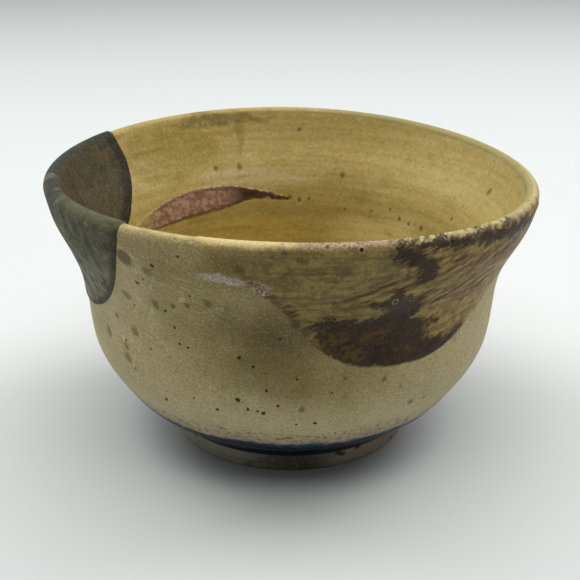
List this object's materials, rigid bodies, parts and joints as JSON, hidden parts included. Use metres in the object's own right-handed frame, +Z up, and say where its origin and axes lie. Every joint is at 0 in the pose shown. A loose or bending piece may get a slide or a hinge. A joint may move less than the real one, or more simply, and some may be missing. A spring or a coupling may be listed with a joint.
{
  "type": "tea bowl",
  "caption": "Hand-thrown stoneware tea bowl with a flared uneven lip, a turned foot ring, ochre ash glaze, a dark dipped glaze and iron brushwork, for drinking whisked tea.",
  "frame": {"origin": "centre of the foot ring, on the surface that the bowl stands on", "axes": "+Z up along the bowl's turning axis, -Y towards the front, +X to the right seen from the front"},
  "size_m": [0.1227, 0.126, 0.072],
  "materials": {
    "stoneware_clay": "bare fired stoneware, matte, sandy",
    "foot_clay": "bare fired stoneware, matte, turned",
    "ochre_glaze_inside": "yellow ochre ash glaze, satin",
    "ochre_glaze_outside": "greenish ochre ash glaze, satin matte, pinholed",
    "pooled_blue_glaze": "thick pooled blue-black glaze, glossy",
    "dark_dip_glaze": "dark olive-grey glaze, satin matte, streaked",
    "iron_glaze": "brushed iron glaze, purple-brown over olive, matte",
    "iron_stroke": "iron brush stroke, purple-brown, matte"
  },
  "bodies": {
    "root": {"thrown_body": "stoneware_clay", "foot_ring": "foot_clay", "inner_glaze_coat": "ochre_glaze_inside", "outer_glaze_coat": "ochre_glaze_outside", "foot_glaze_bead": "pooled_blue_glaze", "dark_dip_glaze": "dark_dip_glaze", "iron_brushed_glaze": "iron_glaze", "inner_brush_stroke": "iron_stroke"}
  },
  "joints": []
}
